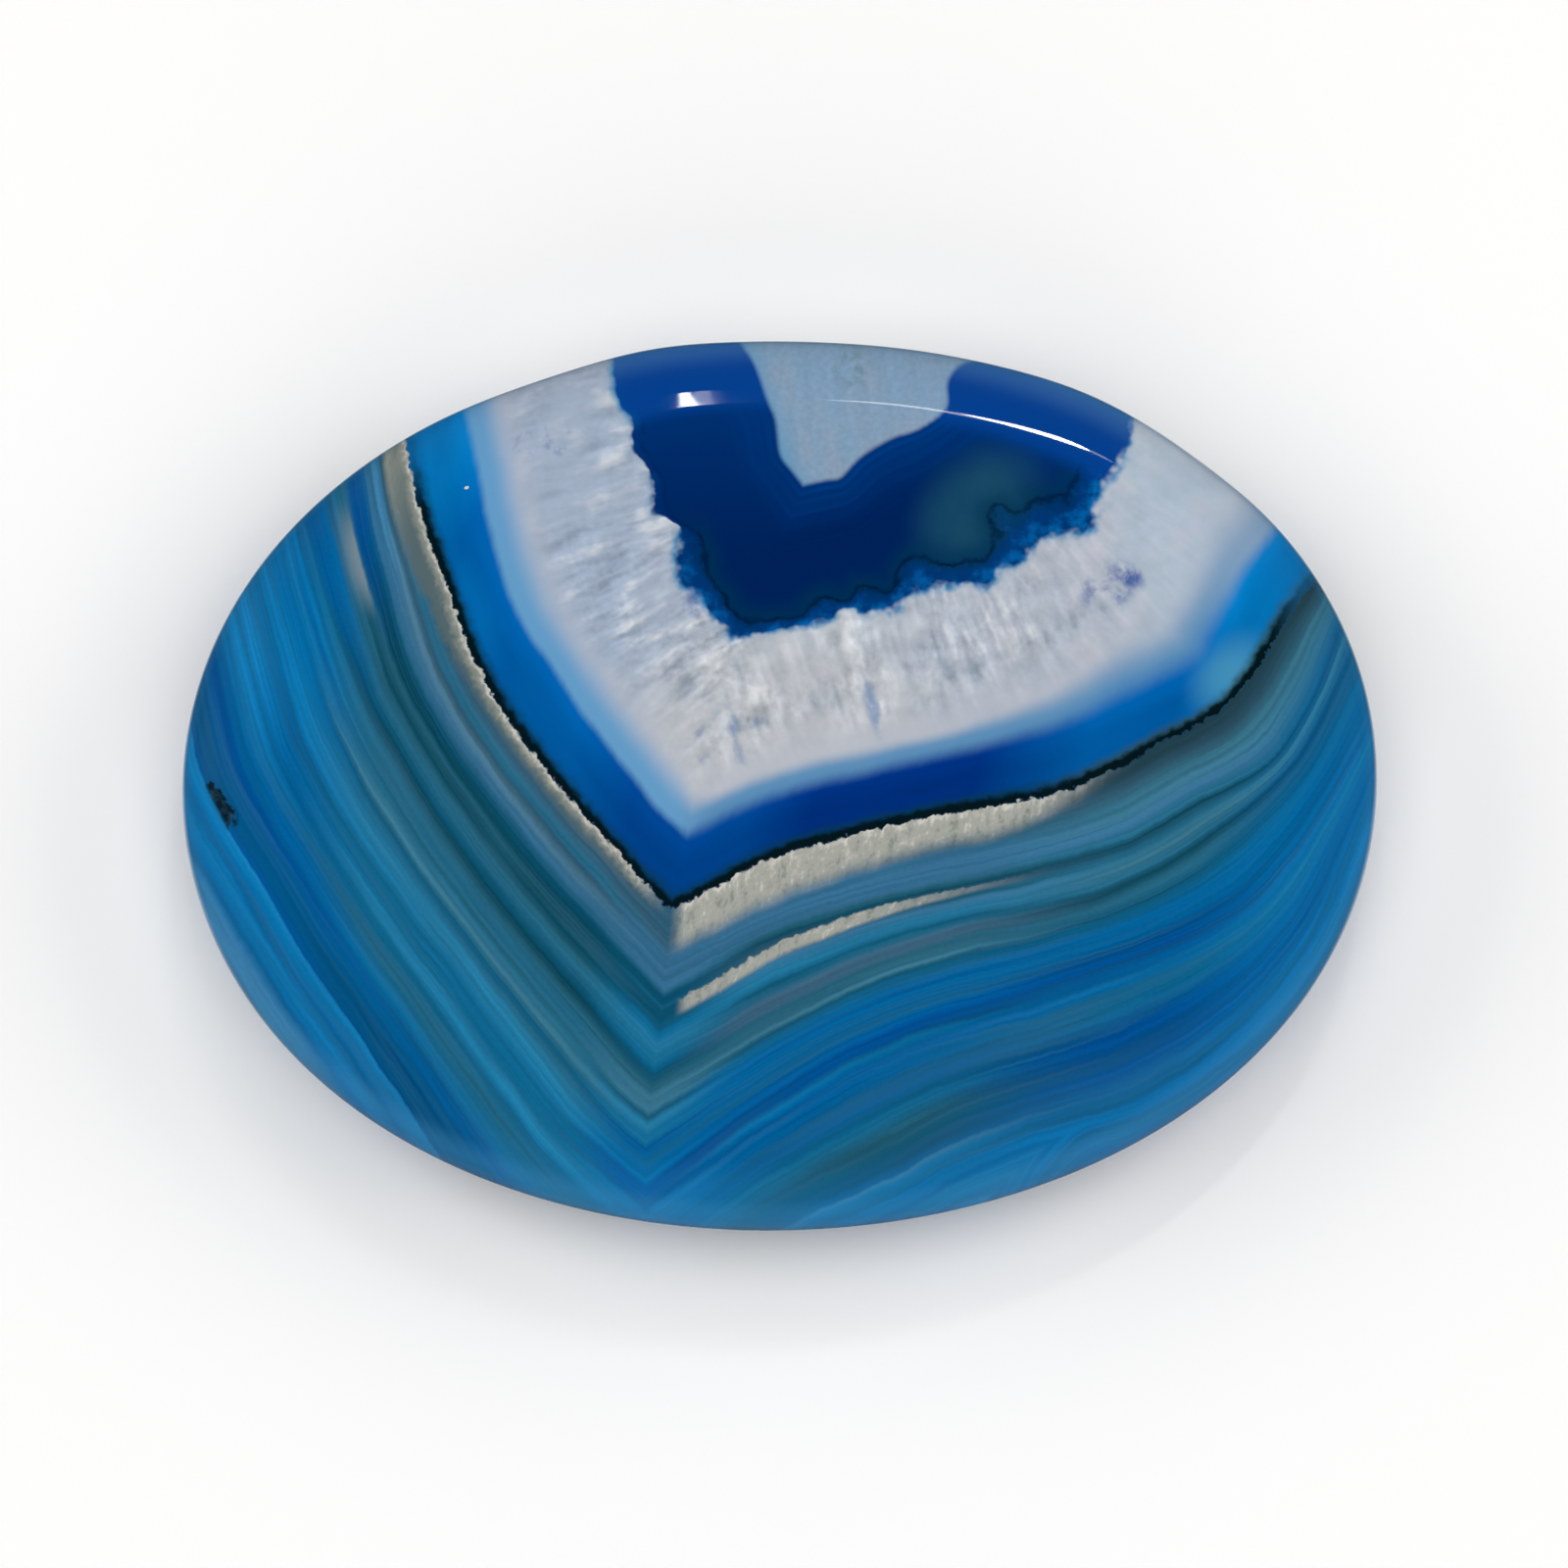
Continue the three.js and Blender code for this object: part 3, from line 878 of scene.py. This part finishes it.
def agateMaterial():
    material = bpy.data.materials.new("bandedAgate")
    material.use_nodes = True
    tree = material.node_tree
    shader = tree.nodes["Principled BSDF"]

    def read(name):
        node = tree.nodes.new("ShaderNodeAttribute")
        node.attribute_name = name
        return Field(tree, node.outputs["Fac"])

    face = (read("faceX"), read("faceY"))
    fromOutline = read("fromOutline")
    onRight = maths("GREATER_THAN", read("rightDepth"), read("leftDepth"))
    toRight = stepUp(read("rightDepth") - read("leftDepth"), -1.2, 1.2)
    trueDepth = maths("MAXIMUM", read("rightDepth"), read("leftDepth"))
    way = read("rightWay") * onRight + read("leftWay") * (1 - onRight)
    arm = way * (onRight * 2 - 1)  # minus to the left of the fold

    # every layer wavers a little, and the thin ones are ragged too
    depth = trueDepth + noise(tree, arm * 0.45, trueDepth * 0.25, 3) * 0.05
    ragged = depth + noise(tree, arm * 2, depth * 0.8, 5, 3, 0.6) * 0.03

    tips = crystalTips(tree, face)
    outer = outerBands(tree, ragged, way, arm, onRight, face)
    outer, creamTop = creamBands(tree, outer, depth, way, arm, onRight, tips)
    haze, line, smoke = blackLine(tree, depth, way, onRight, creamTop, face)
    outer = paint(outer, "soot", smoke)
    # painted light: near the outline the outer layers are painted lighter and bluer, for the light
    # through the thin rim and the bright room it mirrors
    paintedRimLight = stepUp(fromOutline, 2.2, 0.1) * stepUp(depth, 9, 14) * stepUp(face[0], -18, -6)
    paintedRimLight = paintedRimLight * (1 - stepUp(face[0], 8, 20) * 0.7)
    outer = shaded(paint(outer, "sky", paintedRimLight * 0.3), 1 + paintedRimLight * 0.08)

    crumble = noise(tree, face[0] * 1.1, face[1] * 1.1, 92, 2, 0.55)
    coreEdge = layerStarts["quartz"] + crumble * 0.17
    core = coreOfNavy(tree, trueDepth, way, toRight, face, fromOutline)
    quartz = quartzBand(tree, depth, read("leftFan"), read("rightFan"), toRight, face)
    edge = maths("MAXIMUM", toRight, stepUp(way, 9, 5))
    # blue dye has seeped from the core into the quartz
    seep = stepUp(depth, coreEdge + 0.45, coreEdge) * stepUp(crumble, -1.2, 0.7) * (0.35 + edge * 0.5)
    topLeft = stepUp(depth, coreEdge + 0.5, coreEdge) * stepUp(face[1], 14.2, 15.2) * (1 - toRight)
    quartz = paint(quartz, "seepBlue", maths("MAXIMUM", seep, topLeft * 0.9))
    quartz = paint(quartz, "stain", stains(tree, face) * 0.9)

    # the layers, from the heart outwards
    start = layerStarts["core"]
    colour = paint(paleHeart(tree, face), core, stepUp(trueDepth, start - 0.15, start + 0.15))
    colour = paint(colour, quartz, stepUp(depth, coreEdge - 0.14, coreEdge + 0.16))
    spread = (1 - toRight) * 0.9 + toRight * stepUp(way, 11, 20) * 1.3
    pale = paint("paleBlue", "paleSteel", toRight)
    thinPale = 0.97 - toRight * stepUp(way, 22, 28) * 0.35
    paleCover = stepUp(depth, layerStarts["pale"] - spread, layerStarts["blue"])
    colour = paint(colour, pale, paleCover * thinPale)
    blue = blueBand(tree, depth, way, arm, toRight, face)
    crisp = (1 - toRight) * 0.25
    farBlue = stepUp(way, 13, 20) * 0.4 - stepUp(way, 23, 28) * 0.5
    blueFrom = layerStarts["blue"] + crisp - onRight * farBlue
    colour = paint(colour, blue, stepUp(ragged, blueFrom, 3.65 - crisp))
    shadow = paint("blueShade", "rust", onRight * stepUp(way, 15, 20))
    colour = paint(colour, shadow, haze)
    colour = paint(colour, outer, stepUp(depth, creamTop - 0.06, creamTop + 0.06))
    colour = paint(colour, "black", line)
    # painted reflection: a pale sheen painted all round the outline
    colour = paint(colour, "paintedEdgeSheen", stepUp(fromOutline, 0.7, 0) * 0.3)
    # a dark chip at the left edge, and a small pale speck
    chip = patch(face, "chipTop") + patch(face, "chipFoot")
    flaws = noise(tree, face[0] * 2.6, face[1] * 2.6, 11, 2, 0.6)
    chipped = stepUp(chip + flaws * stepUp(chip, 0, 0.4) * 0.3, 0.06, 0.5)
    chipped = chipped * stepUp(read("leftDepth"), 25.2, 24.8)
    colour = paint(colour, paint("black", "soot", stepUp(flaws, 0.3, -0.8) * 0.7), chipped * 0.95)
    paleSpeck = stepUp(patch(face, "paleSpeck"), 0, 0.4)
    colour = paint(colour, "creamLight", paleSpeck)

    plug(tree, shader.inputs["Base Color"], colour)
    shader.inputs["Roughness"].default_value = agatePolish["roughness"]
    shader.inputs["IOR"].default_value = agatePolish["refraction"]
    return material


paleFloor = {
    "half": 2.5,  # metres
    "colour": (0.97, 0.965, 0.955, 1),
    "roughness": 0.9,
}


def makeFloor():
    half = paleFloor["half"]
    mesh = bpy.data.meshes.new("floor")
    corners = [(-half, -half, 0), (half, -half, 0), (half, half, 0), (-half, half, 0)]
    mesh.from_pydata(corners, [], [(0, 1, 2, 3)])
    floor = bpy.data.objects.new("floor", mesh)
    bpy.context.scene.collection.objects.link(floor)
    material = bpy.data.materials.new("paleFloor")
    material.use_nodes = True
    shader = material.node_tree.nodes["Principled BSDF"]
    shader.inputs["Base Color"].default_value = paleFloor["colour"]
    shader.inputs["Roughness"].default_value = paleFloor["roughness"]
    mesh.materials.append(material)
    floor.visible_glossy = False  # the polished rim doesn't mirror it
    return floor


# The azimuth runs from +Y towards +X, and all angles are in degrees as seen from the stone.
studioLights = {
    "window": {
        "azimuth": -2.85, "elevation": 57.2, "wide": 0.68, "high": 14.5, "turn": 2.6, "brightness": 25,
    },
    "curtain": {
        "azimuth": -1.65, "elevation": 57.2, "wide": 0.75, "high": 14.5, "turn": 1.1, "brightness": 4.2,
    },
    "curtainEdge": {
        "azimuth": -0.85, "elevation": 57.2, "wide": 0.45, "high": 13, "turn": 1.1, "brightness": 0.6,
    },
    "tube": {
        "azimuth": 14.8, "elevation": 54.2, "wide": 9.9, "high": 2.3, "turn": 46, "brightness": 30,
    },
    "tubeStart": {
        "azimuth": 6.4, "elevation": 59, "wide": 5.6, "high": 1.3, "turn": 46, "brightness": 5,
    },
    "tubeEnd": {
        "azimuth": 21.4, "elevation": 50.4, "wide": 3.4, "high": 1.1, "turn": 46, "brightness": 3.5,
    },
    "overhead": {
        "azimuth": 180, "elevation": 82, "wide": 50, "high": 50, "turn": 0, "brightness": 1.7,
    },
    "left": {
        "azimuth": -80, "elevation": 30, "wide": 50, "high": 40, "turn": 0, "brightness": 2.2,
    },
    "right": {
        "azimuth": 80, "elevation": 30, "wide": 50, "high": 40, "turn": 0, "brightness": 2.2,
    },
    "front": {
        "azimuth": 180, "elevation": 25, "wide": 50, "high": 40, "turn": 0, "brightness": 1.8,
    },
    "back": {
        "azimuth": 0, "elevation": 25, "wide": 50, "high": 40, "turn": 0, "brightness": 0.8,
    },
}
# the lights that the polish shows
mirrored = ("window", "curtain", "curtainEdge", "tube", "tubeStart", "tubeEnd")
lightDistance = 0.9  # metres
roomGlow = 0.05  # of the room just above and below the horizon
floorGlow = {"near": 0.08, "far": 0.6}  # of the floor that the rim's outermost edge mirrors


def towards(azimuth, elevation):
    turn, rise = math.radians(azimuth), math.radians(elevation)
    return Vector((math.sin(turn) * math.cos(rise), math.cos(turn) * math.cos(rise), math.sin(rise)))


def makeLights():
    for name, lamp in studioLights.items():
        data = bpy.data.lights.new(name, "AREA")
        data.shape = "ELLIPSE" if name.startswith("tube") else "RECTANGLE"
        data.size = 2 * lightDistance * math.tan(math.radians(lamp["wide"] / 2))
        data.size_y = 2 * lightDistance * math.tan(math.radians(lamp["high"] / 2))
        data.energy = lamp["brightness"] * math.pi * data.size * data.size_y
        light = bpy.data.objects.new(name, data)
        direction = towards(lamp["azimuth"], lamp["elevation"])
        light.location = direction * lightDistance
        light.rotation_mode = "QUATERNION"
        turn = Quaternion((0, 0, 1), math.radians(lamp["turn"]))
        light.rotation_quaternion = (-direction).to_track_quat("-Z", "Y") @ turn
        light.visible_glossy = name in mirrored
        bpy.context.scene.collection.objects.link(light)


def makeSky():
    # a dim room round a pale floor, for the polish to mirror
    world = bpy.data.worlds.new("studio")
    world.use_nodes = True
    tree = world.node_tree
    direction = Field(tree, tree.nodes.new("ShaderNodeTexCoord").outputs["Generated"])
    ahead, up = parted(direction)[1:]
    room = stepUp(up, 1.1, 0) * stepUp(up, -0.9, 0)
    ground = floorGlow["near"] + stepUp(ahead, 0, 0.26) * floorGlow["far"]
    strength = room * roomGlow + stepUp(up, -0.8, -0.98) * ground
    plug(tree, tree.nodes["Background"].inputs["Strength"], strength)
    tree.nodes["Background"].inputs["Color"].default_value = (1, 1, 1, 1)
    bpy.context.scene.world = world


photoView = {
    "elevation": 75,  # degrees above the table
    "roll": 1.5,  # degrees that the stone seems turned, against the clock
    "pixelsPerMm": 24.4,
    "framePixels": 1600,
    "stonePixels": (795.5, 797),  # where the middle of the stone is in the frame
    "middleHeight": 4.5,  # millimetres
    "lens": 300,  # millimetres, on a sensor of the width below
    "sensor": 36,
}


def makeCamera():
    data = bpy.data.cameras.new("camera")
    data.lens = photoView["lens"]
    data.sensor_width = photoView["sensor"]
    data.clip_start = 0.01
    camera = bpy.data.objects.new("camera", data)
    bpy.context.scene.collection.objects.link(camera)
    frameWidth = photoView["framePixels"] / photoView["pixelsPerMm"] * mm
    distance = frameWidth * data.lens / data.sensor_width
    tilt = math.radians(photoView["elevation"])
    back = Vector((0, -math.cos(tilt), math.sin(tilt)))
    turn = (-back).to_track_quat("-Z", "Y") @ Quaternion((0, 0, 1), math.radians(-photoView["roll"]))
    half = photoView["framePixels"] / 2
    aside = [(half - pixel) / photoView["pixelsPerMm"] * mm for pixel in photoView["stonePixels"]]
    aim = Vector((0, 0, photoView["middleHeight"] * mm)) + turn @ Vector((aside[0], -aside[1], 0))
    camera.location = aim + back * distance
    camera.rotation_mode = "QUATERNION"
    camera.rotation_quaternion = turn
    bpy.context.scene.camera = camera


stone = makeStone(agateMaterial())
print("stone shaped:", len(stone.data.polygons), "faces")
layBands(stone)
print("bands laid")
floor = makeFloor()
makeLights()
makeSky()
makeCamera()
bpy.context.scene.view_settings.view_transform = "Standard"
print("studio ready")

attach(stone, "root")
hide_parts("stone")
